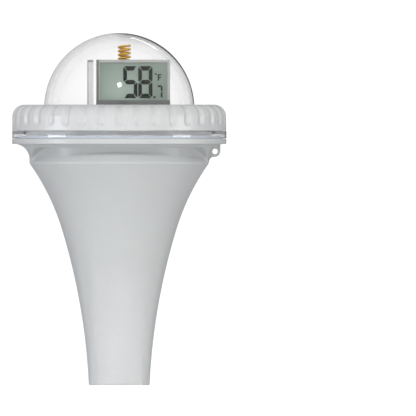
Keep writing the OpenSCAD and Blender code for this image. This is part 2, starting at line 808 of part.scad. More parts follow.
// The cutter for one flute: up the side, round the corner, and a little way in along the top.
module flute_cutter() {
    stand_off = flute_r - flute_depth;
    side_r = ring_r + stand_off;
    corner = [ring_r - ring_corner_r, ring_top_z - ring_corner_r];
    foot_z = 131.6;
    translate([side_r, 0, foot_z]) {
        sphere(r = flute_r, $fn = 32);
        cylinder(r = flute_r, h = corner.y - foot_z, $fn = 32);
    }
    translate([corner.x, 0, corner.y]) rotate([90, 0, 0]) rotate_extrude(angle = 90, $fn = 64)
        translate([ring_corner_r + stand_off, 0]) circle(r = flute_r, $fn = 32);
    translate([corner.x, 0, ring_top_z + stand_off]) sphere(r = flute_r, $fn = 32);
}

module grip_ring() {
    corner = [ring_r - ring_corner_r, ring_top_z - ring_corner_r];
    color("#dadcdb") difference() {
        rotate_extrude() difference() {
            union() {
                translate([0, ring_low_z]) square([ring_r, corner.y - ring_low_z]);
                translate([0, ring_low_z]) square([corner.x, ring_top_z - ring_low_z]);
                translate(corner) circle(r = ring_corner_r);
            }
            polygon([[0, ring_low_z - 1], [ring_bore_r, ring_low_z - 1],
                [ring_bore_r, ring_plate_z - skirt_chamfer],
                [ring_bore_r - skirt_chamfer, ring_plate_z], [0, ring_plate_z]]);
            square([dome_r + 0.2, 200]);
        }
        for (i = [0:flutes - 1]) rotate(i * 360 / flutes - 90) flute_cutter();
    }
}

body_shell();
tether_lug();
base_cap();
base_seal();
probe_tip();
thermistor();
sensor_lead();
ballast_weight();
ballast_retainer();
deck();
deck_screws();
display_frame();
lcd_glass();
lcd_segments();
lcd_reflector();
lcd_bezel();
zebra_strip();
main_board();
board_parts();
switch_bodies();
antenna();
rear_cover();
rear_cover_screws();
unit_button();
sync_button();
channel_slider();
battery_box();
box_screws();
battery_left();
battery_right();
contact_spring();
contact_plate();
battery_leads();
battery_door();
door_contact();
door_pin();
cap_gasket();
clear_dome();
grip_ring();
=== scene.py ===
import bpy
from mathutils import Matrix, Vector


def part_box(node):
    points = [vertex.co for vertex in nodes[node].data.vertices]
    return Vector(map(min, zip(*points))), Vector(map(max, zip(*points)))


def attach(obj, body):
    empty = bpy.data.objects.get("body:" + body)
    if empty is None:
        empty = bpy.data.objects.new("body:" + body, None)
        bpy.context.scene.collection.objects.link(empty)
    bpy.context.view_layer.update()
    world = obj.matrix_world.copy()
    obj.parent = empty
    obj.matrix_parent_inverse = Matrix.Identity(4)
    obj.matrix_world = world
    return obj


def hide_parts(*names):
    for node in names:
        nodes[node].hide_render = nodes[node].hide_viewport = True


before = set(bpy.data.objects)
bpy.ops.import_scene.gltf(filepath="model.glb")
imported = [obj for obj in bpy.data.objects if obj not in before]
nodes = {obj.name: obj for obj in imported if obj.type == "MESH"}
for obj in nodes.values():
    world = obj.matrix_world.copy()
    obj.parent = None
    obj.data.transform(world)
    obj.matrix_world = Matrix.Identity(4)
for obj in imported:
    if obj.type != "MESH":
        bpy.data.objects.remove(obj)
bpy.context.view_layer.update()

import math

import bmesh
import bpy
import numpy as np

# ---------------------------------------------------------------------------------------------
# Camera: level with the collar and square to the display, with parallel rays, so that the
# stem and the dome keep their true outline.
camera_data = bpy.data.cameras.new("front_camera")
camera_data.type = "ORTHO"
camera_data.ortho_scale = 0.208
camera_data.clip_end = 20
camera = bpy.data.objects.new("front_camera", camera_data)
camera.location = (0.0444, -1.2, 0.0885)
camera.rotation_euler = (math.radians(90), 0, 0)
bpy.context.scene.collection.objects.link(camera)
bpy.context.scene.camera = camera


# ---------------------------------------------------------------------------------------------
# Studio: a plain pale floor and three rooms. Seen directly or through clear plastic the room is
# white. A softer grey room and a few large soft lamps light the float. Gloss mirrors a third.
def linear(colour):
    """An sRGB hex colour such as 'c8cac9' as a linear RGBA tuple."""
    srgb = [int(colour[i:i + 2], 16) / 255 for i in (0, 2, 4)]
    return (*[c / 12.92 if c <= 0.04045 else ((c + 0.055) / 1.055) ** 2.4 for c in srgb], 1.0)


def add_node(tree, kind, inputs=None, **settings):
    """Adds a shader node. Each input is a plain value, or another node's output to link from."""
    node = tree.nodes.new(kind)
    for name, value in settings.items():
        setattr(node, name, value)
    for name, value in (inputs or {}).items():
        if isinstance(value, bpy.types.NodeSocket):
            tree.links.new(value, node.inputs[name])
        else:
            node.inputs[name].default_value = value
    return node


def ramp(tree, value, start, stop, low=0.0, high=1.0):
    """Carries start..stop over to low..high in a straight line, held at both ends."""
    return add_node(tree, "ShaderNodeMapRange", {"Value": value, "From Min": start,
                    "From Max": stop, "To Min": low, "To Max": high}).outputs[0]


def reckon(tree, operation, *values):
    """The result of one maths operation on plain values or outputs."""
    return add_node(tree, "ShaderNodeMath", dict(enumerate(values)),
                    operation=operation).outputs[0]


def blend(tree, factor, first, second):
    """A colour on the way from the first to the second, by a factor from 0 to 1."""
    return add_node(tree, "ShaderNodeMix", {"Factor": factor, 6: first, 7: second},
                    data_type="RGBA").outputs[2]


world = bpy.data.worlds.new("white_studio")
bpy.context.scene.world = world
world.use_nodes = True
world.node_tree.nodes.clear()
tree = world.node_tree
place = add_node(tree, "ShaderNodeTexCoord")
split = add_node(tree, "ShaderNodeSeparateXYZ", {"Vector": place.outputs["Generated"]})
room_white = linear("fbfcff")
side = ramp(tree, split.outputs["X"], -0.5, 0.9, 0.38, 0.33)
lift = ramp(tree, split.outputs["Z"], -0.3, 0.8, 0.80, 1.1)
grey = reckon(tree, "MULTIPLY", side, lift)
grey_room = add_node(tree, "ShaderNodeBackground", {"Color": room_white, "Strength": grey})
ray = add_node(tree, "ShaderNodeLightPath")
# A ray meets four faces of the clear shell on its way through, but only two near the rim, where
# the wall turns it round. With fewer than four it sees a greyer room and a black card low on the
# right, which draw the rim's thin dark line.
four_faces = 3.5
rim_grey = 0.3
window_white = 1.1
few_faces = reckon(tree, "LESS_THAN", ray.outputs["Transmission Depth"], four_faces)
through = reckon(tree, "MULTIPLY", few_faces, ray.outputs["Is Transmission Ray"])
near_x = ramp(tree, split.outputs["X"], -0.03, 0.03, 0.0, 0.85)
far_x = ramp(tree, split.outputs["X"], 0.2, 0.27, 1.0, 0.1)
card = reckon(tree, "MULTIPLY", near_x, far_x)
low = ramp(tree, split.outputs["Z"], 0.1, 0.32, 1.0, 0.1)
black = reckon(tree, "MULTIPLY_ADD", card, low, rim_grey)
shade = reckon(tree, "MULTIPLY", black, through)
bright = reckon(tree, "SUBTRACT", window_white, shade)
white_room = add_node(tree, "ShaderNodeBackground", {"Color": (1, 1, 1, 1), "Strength": bright})
# Towards the camera the mirrored room is dark, so that gloss and clear plastic show no haze over
# the display.
behind = ramp(tree, split.outputs["Y"], -0.7, 0.6, 0.04, 0.55)
dim = reckon(tree, "SUBTRACT", 1.0, card)
gloss = reckon(tree, "MULTIPLY", behind, dim)
gloss_room = add_node(tree, "ShaderNodeBackground", {"Color": room_white, "Strength": gloss})
unseen = add_node(tree, "ShaderNodeMixShader", {"Fac": ray.outputs["Is Glossy Ray"],
                  1: grey_room.outputs[0], 2: gloss_room.outputs[0]})
seen = reckon(tree, "MAXIMUM", ray.outputs["Is Camera Ray"], ray.outputs["Is Transmission Ray"])
mixed = add_node(tree, "ShaderNodeMixShader", {"Fac": seen, 1: unseen.outputs[0],
                 2: white_room.outputs[0]})
add_node(tree, "ShaderNodeOutputWorld", {"Surface": mixed.outputs[0]})
bpy.context.scene.view_settings.view_transform = "Standard"


def soft_lamp(name, place, target, size, power, colour="ffffff", shape="RECTANGLE",
              mirrored=False):
    """A soft box at a place, aimed at a target, in metres and watts. Only a mirrored one shows in
    gloss."""
    data = bpy.data.lights.new(name, "AREA")
    data.shape = shape
    data.size, data.size_y = size
    data.energy = power
    data.color = linear(colour)[:3]
    lamp = bpy.data.objects.new(name, data)
    aim = np.array(target) - np.array(place)
    flat = math.hypot(aim[0], aim[1])
    lamp.location = place
    lamp.visible_glossy = mirrored
    lamp.visible_transmission = False
    lamp.rotation_euler = (math.atan2(flat, -aim[2]), 0, math.atan2(-aim[0], aim[1]))
    bpy.context.scene.collection.objects.link(lamp)
    return data


middle = (0, 0, 0.1)
soft_lamp("front_box", (0.0, -0.95, 0.50), middle, (0.6, 0.12), 4.2)
soft_lamp("level_strip", (0.0, -0.9, 0.118), (0, 0, 0.118), (1.3, 0.03), 0.8, mirrored=True)
soft_lamp("left_strip", (-0.82, -0.3, 0.08), middle, (0.35, 0.12), 1.3, "f4f6ff", mirrored=True)
soft_lamp("right_strip", (0.82, -0.3, 0.08), middle, (0.35, 0.12), 1.0, mirrored=True)
soft_lamp("rim_strip", (0.27, 0.78, 0.80), (0, 0, 0.14), (0.34, 0.08), 0.22, mirrored=True)
soft_lamp("dot_lamp", (0.004, -0.72, 0.65), (0, 0, 0.15), (0.11, 0.11), 0.6, shape="ELLIPSE",
          mirrored=True)
base_lamp = soft_lamp("base_lamp", (0.0, -0.9, 0.05), (0, 0, 0.012), (0.12, 0.04), 0.006)
base_lamp.spread = math.radians(9)

floor_mesh = bpy.data.meshes.new("studio_floor")
floor_mesh.from_pydata([(-3, -3, 0), (3, -3, 0), (3, 3, 0), (-3, 3, 0)], [], [(0, 1, 2, 3)])
studio_floor = bpy.data.objects.new("studio_floor", floor_mesh)
bpy.context.scene.collection.objects.link(studio_floor)
paper = bpy.data.materials.new("backdrop_paper")
paper.use_nodes = True
paper.node_tree.nodes["Principled BSDF"].inputs["Base Color"].default_value = linear("ececec")
paper.node_tree.nodes["Principled BSDF"].inputs["Roughness"].default_value = 0.8
floor_mesh.materials.append(paper)


# ---------------------------------------------------------------------------------------------
# Moulded plastics: white ABS on the float, a finer satin on the parts inside, and dark trim.
# ABS is injection moulded against a spark-eroded steel face, so it has a fine even grain, a
# slight colour cloud from the pigment, and a soft wide highlight.
def blank_material(name):
    """A new material with an empty tree. Gives the material, its tree and object coordinates."""
    material = bpy.data.materials.new(name)
    material.use_nodes = True
    tree = material.node_tree
    tree.nodes.clear()
    place = add_node(tree, "ShaderNodeTexCoord")
    return material, tree, place.outputs["Object"]


def plastic(name, colour, cloud, roughness, grain_mm, grain_mm_high, specular=0.5,
            cloud_mm=18.0, coat=0.0):
    """Principled plastic: base colour clouded towards a second colour over cloud_mm, roughness
    varied a little by the same cloud, and a bump whose cells are grain_mm wide and
    grain_mm_high tall."""
    material, tree, place = blank_material(name)
    clouds = add_node(tree, "ShaderNodeTexNoise", {"Vector": place, "Scale": 1000 / cloud_mm,
                      "Detail": 3.0, "Roughness": 0.55})
    tint = blend(tree, clouds.outputs["Fac"], linear(colour), linear(cloud))
    gloss = ramp(tree, clouds.outputs["Fac"], 0.1, 0.9, roughness * 0.92, roughness * 1.08)
    grain = add_node(tree, "ShaderNodeTexNoise", {"Vector": place, "Scale": 1000 / grain_mm,
                     "Detail": 2.0, "Roughness": 0.6})
    bump = add_node(tree, "ShaderNodeBump", {"Height": grain.outputs["Fac"], "Strength": 0.5,
                    "Distance": grain_mm_high / 1000})
    skin = add_node(tree, "ShaderNodeBsdfPrincipled", {"Base Color": tint, "Roughness": gloss,
                    "Normal": bump.outputs[0], "IOR": 1.53, "Specular IOR Level": specular,
                    "Coat Weight": coat, "Coat Roughness": 0.12})
    add_node(tree, "ShaderNodeOutputMaterial", {"Surface": skin.outputs[0]})
    return material


def dress(names, material):
    """Gives CAD nodes one material in every slot."""
    for name in names:
        mesh = nodes[name].data
        if mesh.materials:
            for i in range(len(mesh.materials)):
                mesh.materials[i] = material
        else:
            mesh.materials.append(material)


shell_white = plastic("moulded_abs_white", "cfd1d0", "c9cbcb", 0.34, 0.5, 0.004)
grip_white = plastic("moulded_abs_grip", "d6d7d6", "d1d2d2", 0.27, 0.5, 0.004)
inner_white = plastic("moulded_abs_inner", "e2e3e3", "dadbdb", 0.45, 0.6, 0.006)
display_white = plastic("moulded_display_abs", "d2d2d1", "cccccc", 0.42, 0.5, 0.005)
trim_black = plastic("moulded_nylon_black", "26282a", "1e2022", 0.5, 0.5, 0.008)
key_grey = plastic("moulded_key_grey", "8f9599", "878d91", 0.45, 0.4, 0.006)

open_crease = math.radians(35)
closed_crease = math.radians(30)


def grid_piece(name, points, material, body, lid_low=False, lid_high=False):
    """A surface through a grid of points, rows along the first axis. Columns close on themselves.
    A lid closes the first or last row with one face."""
    rows, columns = points.shape[:2]
    index = np.arange(rows * columns).reshape(rows, columns)
    index = np.concatenate([index, index[:, :1]], axis=1)
    quads = np.stack([index[:-1, :-1], index[:-1, 1:], index[1:, 1:], index[1:, :-1]], axis=-1)
    faces = quads.reshape(-1, 4).tolist()
    if lid_low:
        faces.append(index[0, :columns][::-1].tolist())
    if lid_high:
        faces.append(index[-1, :columns].tolist())
    mesh = bpy.data.meshes.new(name)
    mesh.from_pydata(points.reshape(-1, 3).tolist(), [], faces)
    mesh.materials.append(material)
    piece = bpy.data.objects.new(name, mesh)
    bpy.context.scene.collection.objects.link(piece)
    mesh.shade_smooth()
    mesh.set_sharp_from_angle(angle=open_crease)
    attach(piece, body)
    return piece


def close_seams(piece, gap=1e-6):
    """Merges the rows that meet at the axis or at the ends of a closed section, turns every face
    outwards, and marks the creases again."""
    work = bmesh.new()
    work.from_mesh(piece.data)
    bmesh.ops.remove_doubles(work, verts=work.verts, dist=gap)
    bmesh.ops.recalc_face_normals(work, faces=work.faces)
    work.to_mesh(piece.data)
    work.free()
    piece.data.set_sharp_from_angle(angle=closed_crease)


def turned(profile, columns):
    """Carries a half section of (radius, height) rows round the Z axis: a surface of
    revolution."""
    angle = np.linspace(0, 2 * np.pi, columns, endpoint=False)
    r, z = profile[:, 0, None], profile[:, 1, None]
    return np.stack([r * np.cos(angle), r * np.sin(angle), z + 0 * angle], axis=-1)


def arc(centre, radius, start, stop, steps):
    """Points on a circle in a half section, from one angle to another in degrees."""
    a = np.radians(np.linspace(start, stop, steps))
    return np.stack([centre[0] + radius * np.cos(a), centre[1] + radius * np.sin(a)], axis=-1)


# ---------------------------------------------------------------------------------------------
# Cap: one clear injection-moulded polycarbonate piece. A hemisphere stands on a flat shoulder, a
# threaded skirt hangs from the shoulder, and a lip at the bottom presses the seal on the collar.
def clear_polycarbonate():
    """Clear polished plastic of index 1.5: sharp reflections, a faint wave in the surface, and
    light lost evenly on the way through the wall. Shadow rays pass, so that the lamps reach what
    is inside."""
    material, tree, place = blank_material("clear_polycarbonate")
    wave_mm = 30
    waves = add_node(tree, "ShaderNodeTexNoise", {"Vector": place, "Scale": 1000 / wave_mm,
                     "Detail": 1.0})
    bump = add_node(tree, "ShaderNodeBump", {"Height": waves.outputs["Fac"], "Strength": 0.3,
                    "Distance": 0.00001})
    skin = add_node(tree, "ShaderNodeBsdfPrincipled", {"Base Color": (1, 1, 1, 1),
                    "Roughness": 0.0, "IOR": 1.5, "Transmission Weight": 1.0,
                    "Normal": bump.outputs[0]})
    smoke = add_node(tree, "ShaderNodeVolumeAbsorption", {"Color": (0.02, 0.02, 0.03, 1),
                     "Density": 9.0})
    ray = add_node(tree, "ShaderNodeLightPath")
    lets_by = add_node(tree, "ShaderNodeBsdfTransparent", {"Color": (0.97, 0.97, 0.97, 1)})
    both = add_node(tree, "ShaderNodeMixShader", {"Fac": ray.outputs["Is Shadow Ray"],
                    1: skin.outputs[0], 2: lets_by.outputs[0]})
    add_node(tree, "ShaderNodeOutputMaterial", {"Surface": both.outputs[0],
             "Volume": smoke.outputs[0]})
    return material


clear = clear_polycarbonate()
dome_low, dome_high = (np.array(corner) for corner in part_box("clear_dome"))
lip_r = dome_high[0]
lip_low = dome_low[2]
lip_top = lip_low + 0.00365
lip_round = 0.0004
lip_edge = 0.0002
dome_wall = 0.002
dome_r = 0.0376
dome_z = dome_high[2] - dome_r
dome_columns = 192
skirt_r = 0.051
skirt_bore = 0.0486
skirt_bevel = 0.0018
shoulder_low = dome_z - 0.0024
outer_fillet = 0.0006
inner_fillet = 0.0003
groove_inner_r, groove_outer_r, groove_top = 0.0496, 0.0519, 0.1248

dome_section = np.concatenate([
    [(groove_outer_r, lip_low), (lip_r - lip_round, lip_low)],
    arc((lip_r - lip_round, lip_low + lip_round), lip_round, -80, 0, 5),
    arc((lip_r - lip_edge, lip_top - lip_edge), lip_edge, 0, 90, 4),
    [(skirt_r, lip_top), (skirt_r, dome_z - skirt_bevel), (skirt_r - skirt_bevel, dome_z)],
    arc((dome_r + outer_fillet, dome_z + outer_fillet), outer_fillet, -90, -170, 5),
    arc((0, dome_z), dome_r, 2, 89.7, 110),
    [(0.0, dome_z + dome_r)],
    [(0.0, dome_z + dome_r - dome_wall)],
    arc((0, dome_z), dome_r - dome_wall, 89.7, 0, 110),
    [(dome_r - dome_wall, shoulder_low + inner_fillet)],
    arc((dome_r - dome_wall + inner_fillet, shoulder_low + inner_fillet), inner_fillet,
        180, 270, 4),
    [(skirt_bore, shoulder_low), (skirt_bore, lip_low), (groove_inner_r, lip_low),
     (groove_inner_r, groove_top), (groove_outer_r, groove_top), (groove_outer_r, lip_low)],
])
dome_piece = grid_piece("dome_moulding", turned(dome_section, dome_columns), clear, "cap")
close_seams(dome_piece)
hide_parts("clear_dome")

thread_pitch = 0.004
thread_start = math.radians(7.3)
thread_section_mm = np.array([-0.95, -0.45, 0.45, 0.95])


def thread_ridge(root, crest, start_z, turns, columns):
    """A trapezoid of root and crest radius carried up a right-hand helix, fading in and out at
    its ends."""
    turn = np.linspace(0, turns, columns)
    angle = 2 * np.pi * turn + thread_start
    fade = np.clip(np.minimum(turn, turns - turn) * 12, 0.35, 1)[:, None]
    radius = root + (crest - root) * fade * np.array([0, 1, 1, 0])
    height = start_z + thread_pitch * turn[:, None] + thread_section_mm / 1000
    return np.stack([radius * np.cos(angle)[:, None], radius * np.sin(angle)[:, None], height],
                    axis=-1)


# The cap's ridge points inwards, so its columns run the other way.
cap_ridge = thread_ridge(root=0.0489, crest=0.0472, start_z=0.1278, turns=1.1, columns=140)
cap_thread = grid_piece("cap_thread", cap_ridge[:, ::-1], clear, "cap",
                        lid_low=True, lid_high=True)


# ---------------------------------------------------------------------------------------------
# Grip ring: a white ABS collar bonded over the cap's skirt. Its outer face and its rounded upper
# corner carry 36 shallow finger flutes that run in over the top and end round at the bottom.
ring_low, ring_high = (np.array(corner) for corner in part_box("grip_ring"))
ring_r = 0.0535
ring_top = ring_high[2]
ring_foot = ring_low[2]
ring_edge = 0.0004
ring_play = 0.0001
corner_r = 0.006
flutes = 36
flute_r = 0.0032
flute_depth = 0.0008
flute_foot_z = 0.1316
flute_soft = 0.00009
face_start, face_rows = 6, 30
flat_rows, fluted_flat_rows = 26, 22
columns_per_flute = 20

ring_section = np.concatenate([
    [(skirt_r + ring_play, ring_foot), (ring_r - ring_edge, ring_foot)],
    arc((ring_r - ring_edge, ring_foot + ring_edge), ring_edge, -80, -10, 4),
    np.stack([np.full(face_rows, ring_r),
              np.linspace(ring_foot + 0.0005, ring_top - corner_r, face_rows)], axis=-1),
    arc((ring_r - corner_r, ring_top - corner_r), corner_r, 3, 90, 30),
    np.stack([np.linspace(ring_r - corner_r - 0.0003, 0.0383, flat_rows),
              np.full(flat_rows, ring_top)], axis=-1),
    arc((0.0382, ring_top - ring_edge), ring_edge, 100, 170, 4),
    [(0.0378, dome_z + ring_play), (skirt_r - 0.0017, dome_z + ring_play),
     (skirt_r + ring_play, dome_z - 0.0017), (skirt_r + ring_play, ring_foot)],
])


def fluted_ring(section, columns):
    """Turns the section, then sinks each flute along the section's own normal. The depth follows
    a round cutter: the cutter's chord at the distance from the flute's middle line, which is the
    sideways distance, or the distance to the line's end past its two ends. A soft maximum rounds
    the flute's edges."""
    step = np.gradient(section, axis=0)
    normal = np.stack([step[:, 1], -step[:, 0]], axis=-1)
    normal /= np.linalg.norm(normal, axis=1, keepdims=True)
    run = np.concatenate([[0], np.cumsum(np.linalg.norm(np.diff(section, axis=0), axis=1))])
    face = slice(face_start, face_start + face_rows)
    low_end = np.interp(flute_foot_z, section[face, 1], run[face])
    flat_start = np.argmax((section[:, 1] >= ring_top - 1e-7))
    high_end = run[flat_start]
    angle = np.linspace(0, 2 * np.pi, columns, endpoint=False)
    phase = (angle * flutes / (2 * np.pi) + 0.5) % 1 - 0.5
    sideways = section[:, 0, None] * np.sin(phase * 2 * np.pi / flutes)
    past = np.maximum(np.maximum(low_end - run, run - high_end), 0)[:, None]
    away = np.sqrt(sideways ** 2 + past ** 2)
    cut = np.sqrt(np.maximum(flute_r ** 2 - away ** 2, 0)) - (flute_r - flute_depth)
    excess = 0.5 * (np.sqrt(flute_depth ** 2 + flute_soft ** 2) - flute_depth)
    cut = 0.5 * (cut + np.sqrt(cut ** 2 + flute_soft ** 2)) - excess
    cut = np.where(away < flute_r, cut, 0)
    on_face = (run >= run[face_start]) & (run <= run[flat_start + fluted_flat_rows])
    cut = np.where(on_face[:, None], cut, 0)
    r = section[:, 0, None] - cut * normal[:, 0, None]
    z = section[:, 1, None] - cut * normal[:, 1, None]
    turn = angle - np.pi / 2
    return np.stack([r * np.cos(turn), r * np.sin(turn), z], axis=-1)


ring_points = fluted_ring(ring_section, flutes * columns_per_flute)
ring_piece = grid_piece("fluted_grip_ring", ring_points, grip_white, "cap")
close_seams(ring_piece)
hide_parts("grip_ring")


# ---------------------------------------------------------------------------------------------
# Seal and other rubber: a grey silicone ring in the lip's groove, the seal of the base, the
# contact strip, and cable covers.
def rubber(name, colour, cloud):
    """Moulded rubber: wide dull highlight, faint bloom in patches of a few millimetres."""
    return plastic(name, colour, cloud, 0.55, 0.4, 0.01, specular=0.4, cloud_mm=4.0)


seal_rubber = rubber("silicone_seal_grey", "aab2bd", "b2b9c3")
dress(["cap_gasket", "base_seal", "zebra_strip"], seal_rubber)
dress(["sensor_lead", "battery_leads"], rubber("pvc_cable_black", "1c1d1f", "242527"))


# ---------------------------------------------------------------------------------------------
# Float body: one white ABS moulding with the collar, waist, finger scoops and neck. The tether
# lug and the plug in the base are of the same plastic.
def flare_radius(z):
    """Outer radius of the stem at a height: a long lower arc, then a shorter one that starts on
    its normal."""
    low = np.array([0.329874, -0.0143])
    low_r, high_r, split_z = 0.315, 0.115, 0.078
    split_r = low[0] - math.sqrt(low_r ** 2 - (split_z - low[1]) ** 2)
    high = np.array([split_r, split_z]) + (low - [split_r, split_z]) * high_r / low_r
    lower = low[0] - np.sqrt(low_r ** 2 - (np.minimum(z, split_z) - low[1]) ** 2)
    upper = high[0] - np.sqrt(high_r ** 2 - (np.maximum(z, split_z) - high[1]) ** 2)
    return np.where(z < split_z, lower, upper)


body_high = np.array(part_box("body_shell")[1])
collar_r = body_high[0]
collar_top = 0.1232
collar_low = 0.1205
collar_edge = 0.0004
waist_r = 0.0449
shoulder_z = 0.1112
hollow_r = 0.0076
hollow_at = (waist_r + hollow_r, collar_low - hollow_r)
neck_top = body_high[2]
neck_r = 0.0465
neck_bore = 0.044
ledge_z = 0.121
well_r = 0.0362
well_low = 0.108
stem_wall = 0.0024
foot_z = 0.00095
foot_r = 0.0152
base_bore = 0.013
base_top = 0.006
columns = 480
turn = np.linspace(0, 2 * np.pi, columns, endpoint=False)
along_x = np.abs(waist_r * np.cos(turn))
facing = np.abs(np.sin(turn))

# A scoop's back wall is an arc of radius 51 mm about a centre 11.25 mm behind the axis. Towards its
# ends it keeps a pocket 2.9 mm deep, which closes with a round end 44 mm from the middle.
scoop_half = 0.044
back_r = 0.051
back_shift = 0.01125
pocket_depth = 0.0029
pocket_end = 0.0032
scoop_soft = 0.0006
scoop_corner = 0.0065
scoop_top = 0.1189
wall_r = -back_shift * facing + np.sqrt((back_shift * facing) ** 2 + back_r ** 2 - back_shift ** 2)
end = np.clip((scoop_half - along_x) / pocket_end, 0, 1)
pocket = waist_r - pocket_depth * np.sqrt(1 - (1 - end) ** 2)
scoop_r = 0.5 * (wall_r + pocket - np.sqrt((wall_r - pocket) ** 2 + scoop_soft ** 2))
scoop_r = np.where(along_x < scoop_half, np.minimum(scoop_r, waist_r), waist_r)
corner = np.clip((along_x - (scoop_half - scoop_corner)) / scoop_corner, 0, 1)
ceiling_z = np.where(along_x < scoop_half,
                     scoop_top - scoop_corner * (1 - np.sqrt(1 - corner ** 2)), shoulder_z)


def waist_surface(z):
    """Outer radius of the waist and of the hollow under the collar at a height."""
    rise = np.clip(z - hollow_at[1], 0, hollow_r)
    return hollow_at[0] - np.sqrt(np.maximum(hollow_r ** 2 - rise ** 2, 0))


def eased(corners, radius, steps=5):
    """A path through corner points, one per row, with each inner corner replaced by a short
    parabola that starts and ends at the given distance from it, or at 0.45 of a short side."""
    rows = [corners[0]]
    for before, here, after in zip(corners[:-2], corners[1:-1], corners[2:]):
        back, on = before - here, after - here
        back_l = np.linalg.norm(back, axis=-1, keepdims=True) + 1e-12
        on_l = np.linalg.norm(on, axis=-1, keepdims=True) + 1e-12
        first = here + back * np.minimum(radius / back_l, 0.45)
        last = here + on * np.minimum(radius / on_l, 0.45)
        for t in np.linspace(0, 1, steps):
            rows.append((1 - t) ** 2 * first + 2 * t * (1 - t) * here + t ** 2 * last)
    rows.append(corners[-1])
    return np.stack(rows)


def ring_of(r, z):
    """One corner of the section, repeated or varied over every column."""
    return np.stack([np.broadcast_to(r, (columns,)), np.broadcast_to(z, (columns,))], axis=-1)


lip_z = shoulder_z + (waist_r - scoop_r)
ceiling_z = np.maximum(ceiling_z, lip_z)
stem_z = np.linspace(foot_z, shoulder_z - 0.0008, 70)
stem = np.stack([ring_of(flare_radius(z), z) for z in stem_z])
brow = 0.0006
scoop_path = eased([ring_of(flare_radius(shoulder_z - brow), shoulder_z - brow),
                    ring_of(waist_r, shoulder_z),
                    ring_of(scoop_r, lip_z), ring_of(scoop_r, ceiling_z),
                    ring_of(waist_surface(ceiling_z), ceiling_z),
                    ring_of(waist_surface(ceiling_z + brow), ceiling_z + brow)], 0.0005)
share = np.sin(np.linspace(0, np.pi / 2, 22))[1:, None]
hollow_z = ceiling_z + brow + (collar_low - ceiling_z - brow) * share
hollow = np.stack([waist_surface(hollow_z), hollow_z], axis=-1)
upper = eased([ring_of(hollow_at[0], collar_low), ring_of(collar_r, collar_low),
               ring_of(collar_r, collar_top), ring_of(neck_r, collar_top),
               ring_of(neck_r, neck_top), ring_of(neck_bore, neck_top),
               ring_of(neck_bore, ledge_z), ring_of(well_r, ledge_z),
               ring_of(well_r, well_low)], collar_edge)
inside_z = np.linspace(0.1, base_top, 16)
inside = np.stack([ring_of(flare_radius(z) - stem_wall, z) for z in inside_z])
foot = np.stack([ring_of(base_bore, base_top), ring_of(base_bore, foot_z),
                 ring_of(foot_r, foot_z)])
section = np.concatenate([stem, scoop_path, hollow, upper[1:], inside, foot])
body_points = np.stack([section[..., 0] * np.cos(turn), section[..., 0] * np.sin(turn),
                        section[..., 1]], axis=-1)
body_piece = grid_piece("float_moulding", body_points, shell_white, "float")
close_seams(body_piece)
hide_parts("body_shell")

# The neck above the collar is the same moulding in a whiter copy of its plastic: painted light, for
# the light that reaches it through the cap's clear lip.
neck_painted_light = plastic("moulded_abs_neck_painted_light", "f4f5f5", "eff0f1", 0.3, 0.5, 0.003)
body_piece.data.materials.append(neck_painted_light)
body_corners = body_piece.data.vertices
for face in body_piece.data.polygons:
    lowest = min(body_corners[v].co.z for v in face.vertices)
    face.material_index = int(lowest > collar_top - 2e-4)
neck_ridge = thread_ridge(root=0.0462, crest=0.0479, start_z=0.1252, turns=1.75, columns=220)
neck_thread = grid_piece("neck_thread", neck_ridge, neck_painted_light, "float",
                         lid_low=True, lid_high=True)
close_seams(neck_thread)
dress(["tether_lug", "base_cap"], shell_white)
dress(["deck", "battery_box", "battery_door", "ballast_retainer"], inner_white)
dress(["rear_cover"], display_white)
dress(["board_parts", "switch_bodies", "channel_slider", "thermistor"], trim_black)
dress(["unit_button", "sync_button"], key_grey)


# ---------------------------------------------------------------------------------------------
# Display frame: the white plastic of the rear cover. The post beside the display is darker on its
# left flank and on its crown, where less light falls.
flank_x = -0.01535
crown_z = 0.1615
post = display_white.copy()
post.name = "moulded_display_post"
tree = post.node_tree
skin = tree.nodes["Principled BSDF"]
where = add_node(tree, "ShaderNodeSeparateXYZ",
                 {"Vector": tree.nodes["Texture Coordinate"].outputs["Object"]})
flank = reckon(tree, "LESS_THAN", where.outputs["X"], flank_x)
crown = reckon(tree, "GREATER_THAN", where.outputs["Z"], crown_z)
shaded = reckon(tree, "MAXIMUM", flank, crown)
own = skin.inputs["Base Color"].links[0].from_socket
tint = blend(tree, shaded, own, linear("8c8c8a"))
tree.links.new(tint, skin.inputs["Base Color"])
dress(["display_frame"], post)


# ---------------------------------------------------------------------------------------------
# Metals: turned stainless screws, probe and pin, a phosphated steel weight, nickel strip
# contacts. The two cells have a printed plastic jacket.
def turned_metal(name, colour, roughness, mark_mm):
    """Turned or drawn metal: fine tool marks, mark_mm wide, vary the roughness and the bump."""
    material, tree, place = blank_material(name)
    marks = add_node(tree, "ShaderNodeTexNoise", {"Vector": place, "Scale": 1000 / mark_mm,
                     "Detail": 2.0})
    gloss = ramp(tree, marks.outputs["Fac"], 0.0, 1.0, roughness * 0.7, roughness * 1.3)
    bump = add_node(tree, "ShaderNodeBump", {"Height": marks.outputs["Fac"], "Strength": 0.3,
                    "Distance": 0.00001})
    skin = add_node(tree, "ShaderNodeBsdfPrincipled", {"Base Color": linear(colour),
                    "Metallic": 1.0, "Roughness": gloss, "Normal": bump.outputs[0]})
    add_node(tree, "ShaderNodeOutputMaterial", {"Surface": skin.outputs[0]})
    return material


